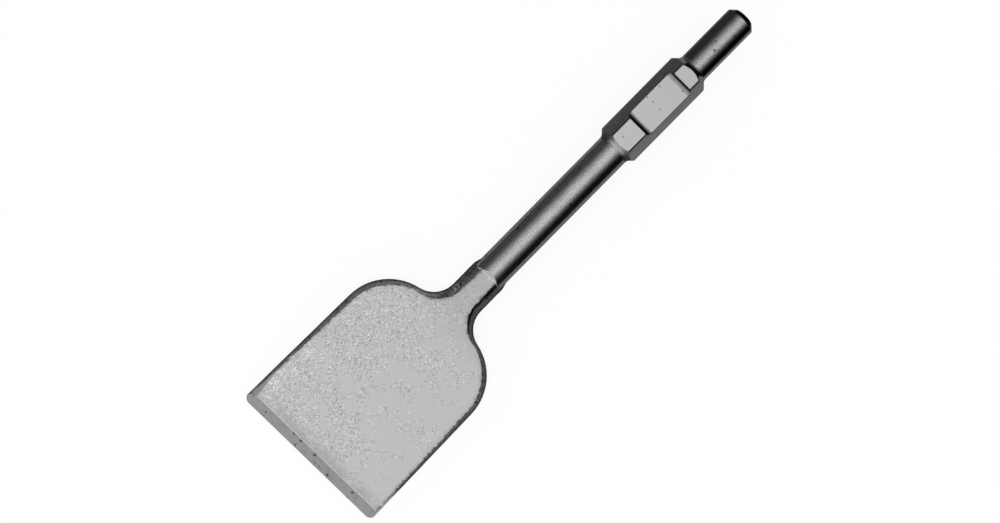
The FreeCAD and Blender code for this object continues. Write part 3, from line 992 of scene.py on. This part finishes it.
def makeChisel():
    draft = bpy.data.objects.new("draft", makeForm())
    bpy.context.collection.objects.link(draft)
    tree = skinTree()
    modifier = draft.modifiers.new("forgedSkin", "NODES")
    modifier.node_group = tree
    for item in tree.interface.items_tree:
        if item.in_out == "INPUT" and item.name in skin:
            modifier[item.identifier] = skin[item.name]
    evened = draft.modifiers.new("evenedNormals", "WEIGHTED_NORMAL")
    evened.keep_sharp = False
    depsgraph = bpy.context.evaluated_depsgraph_get()
    mesh = bpy.data.meshes.new_from_object(draft.evaluated_get(depsgraph), depsgraph=depsgraph)
    bpy.data.objects.remove(draft)
    mesh.transform(toolToRow)
    mesh.name = "chisel"
    for name in ("zone", "forged", "wall", "rim"):
        mesh.attributes.remove(mesh.attributes[name])
    made = bpy.data.objects.new("chisel", mesh)
    bpy.context.collection.objects.link(made)
    print("skin applied:", len(mesh.polygons), "faces,", [slot.name for slot in mesh.materials])
    return made


chisel = makeChisel()
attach(chisel, "root")
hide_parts("wide_chisel")
print("chisel made")


# Floor, tent, cards and lamp

studio = {                   # lengths in metres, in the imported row's frame
    "floorRadius": 6.0,
    "floorWhite": 0.95,
    "shadowSeen": 0.11,      # how much of its shadow the floor shows to the camera
    "shadowMirrored": 1.0,   # and to the steel
    "shadowReach": (0.45, 0.8),
    "lampHeight": 2.1,
    "lampSize": 3.2,
    "lampLevel": 1.15,
    "fill": 0.55,
    "tentRadius": 2.4,
    "overhead": 2.95,
    "overheadFocus": 3.9,
    "overheadLean": 0.09,    # towards the side without the grey card
    "overheadTrim": (0.2, 1.05),
    "bladeCard": 2.3,
    "bladeCardFrom": (0.3, 0.75),
    "sideCard": 0.2,
    "sideCardFrom": (-0.2, 0.6),
    "flags": (               # ends, height and level of the low cards round the shank
        ((-0.06, -0.085), (0.26, -0.085), 0.035, 0.02),
        ((0.26, -0.085), (0.26, 0.05), 0.045, 0.01),
        ((0.26, 0.05), (-0.06, 0.05), 0.04, 0.23),
    ),
}


def disc(name, radius):
    shape = bmesh.new()
    bmesh.ops.create_circle(shape, cap_ends=True, radius=radius, segments=96)
    return stageObject(name, shape)


def dome(name, radius):
    shape = bmesh.new()
    bmesh.ops.create_uvsphere(shape, u_segments=48, v_segments=24, radius=radius)
    low = [vert for vert in shape.verts if vert.co.z < -0.01 * radius]
    bmesh.ops.delete(shape, geom=low, context="VERTS")
    return stageObject(name, shape)


def stageObject(name, shape):
    mesh = bpy.data.meshes.new(name)
    shape.to_mesh(mesh)
    shape.free()
    made = bpy.data.objects.new(name, mesh)
    bpy.context.collection.objects.link(made)
    return made


def floorPaint():
    finish = Finish("paleFloor")
    away = finish.vectorMaths("LENGTH", finish.node("ShaderNodeTexCoord", result="Object"), result="Value")
    near = 1 - finish.step(away, *studio["shadowReach"])
    camera, mirrored = finish.seenDirectly()
    share = camera * (1 - near * studio["shadowSeen"]) + mirrored * (1 - near * studio["shadowMirrored"])
    lit = finish.node("ShaderNodeBsdfDiffuse", None, {"Color": grey(studio["floorWhite"])})
    white = finish.node("ShaderNodeEmission", None, {"Color": (1, 1, 1, 1), "Strength": 1.0})
    return finish.surface(finish.node("ShaderNodeMixShader", None, {0: share, 1: lit, 2: white}))


def tentPaint():
    # soft light overhead, a pale card beyond the blade, a grey one on one side, dark elsewhere
    finish = Finish("studioTent")
    towards = finish.vectorMaths("NORMALIZE", finish.node("ShaderNodeTexCoord", result="Object"))
    leaning = Vector((0, -studio["overheadLean"], 1)).normalized()
    height = finish.vectorMaths("DOT_PRODUCT", towards, leaning, result="Value").maths("MAXIMUM", 0.0)
    side = finish.part(towards, "Y")
    overhead = studio["overhead"] * height**studio["overheadFocus"]
    overhead = overhead * (1 - finish.step(side * -1, *studio["overheadTrim"]))
    beyond = studio["bladeCard"] * finish.step(finish.part(towards, "X") * -1, *studio["bladeCardFrom"])
    beside = studio["sideCard"] * finish.step(side, *studio["sideCardFrom"])
    level = overhead + beyond + beside
    return finish.surface(finish.node("ShaderNodeEmission", None, {"Color": (1, 1, 1, 1), "Strength": level}))


def flag(number, start, end, height, level):
    # low card that stands on the floor, seen in the steel only
    shape = bmesh.new()
    corners = [(*start, 0), (*end, 0), (*end, height), (*start, height)]
    shape.faces.new([shape.verts.new(corner) for corner in corners])
    made = stageObject(f"flag{number}", shape)
    finish = Finish(f"flagPaint{number}")
    shader = finish.node("ShaderNodeEmission", None, {"Color": (1, 1, 1, 1), "Strength": level})
    made.data.materials.append(finish.surface(shader))
    return made


def makeStudio():
    floor = disc("floor", studio["floorRadius"])
    floor.data.materials.append(floorPaint())
    tent = dome("tent", studio["tentRadius"])
    tent.data.materials.append(tentPaint())
    flags = [flag(number, *card) for number, card in enumerate(studio["flags"])]
    for card in (tent, *flags):
        card.visible_camera = False
        card.visible_diffuse = False
        card.visible_shadow = False
    lamp = bpy.data.lights.new("softbox", "AREA")
    lamp.size = studio["lampSize"]
    lamp.energy = studio["lampLevel"] * math.pi * lamp.size**2
    holder = bpy.data.objects.new("softbox", lamp)
    holder.location = (0, 0, studio["lampHeight"])
    holder.visible_camera = False
    holder.visible_glossy = False
    bpy.context.collection.objects.link(holder)
    bpy.context.scene.world = bpy.data.worlds.new("studio")
    bpy.context.scene.world.use_nodes = True
    sky = Tree(bpy.context.scene.world.node_tree)
    camera, mirrored = sky.seenDirectly()
    strength = studio["fill"] + (1 - studio["fill"]) * (camera + mirrored)
    back = sky.node("ShaderNodeBackground", None, {"Color": (1, 1, 1, 1), "Strength": strength})
    sky.node("ShaderNodeOutputWorld", None, {"Surface": back})


makeStudio()
print("studio set up")


# Camera

view = {
    "turn": math.radians(3.5),       # round the tool's axis
    "roll": math.radians(45.365),
    "distance": 1089.24,
    "aimAlong": 204.54,
    "aimAcross": 1.4,
    "lens": 52.954,
    "sensor": 36.0,
    "clipEnd": 20.0,         # metres
}


def makeCamera():
    away = front * math.cos(view["turn"]) + across * math.sin(view["turn"])
    side = away.cross(along)
    right = along * math.cos(view["roll"]) - side * math.sin(view["roll"])
    up = along * math.sin(view["roll"]) + side * math.cos(view["roll"])
    aim = edgeCentre + (along * view["aimAlong"] + side * view["aimAcross"]) * mm
    camera = bpy.data.objects.new("camera", bpy.data.cameras.new("camera"))
    bpy.context.collection.objects.link(camera)
    pose = Matrix((right, up, away)).transposed().to_4x4()
    pose.translation = aim + away * view["distance"] * mm
    camera.matrix_world = pose
    camera.data.lens = view["lens"]
    camera.data.sensor_width = view["sensor"]
    camera.data.clip_end = view["clipEnd"]
    bpy.context.scene.camera = camera


makeCamera()
bpy.context.scene.view_settings.view_transform = "Standard"
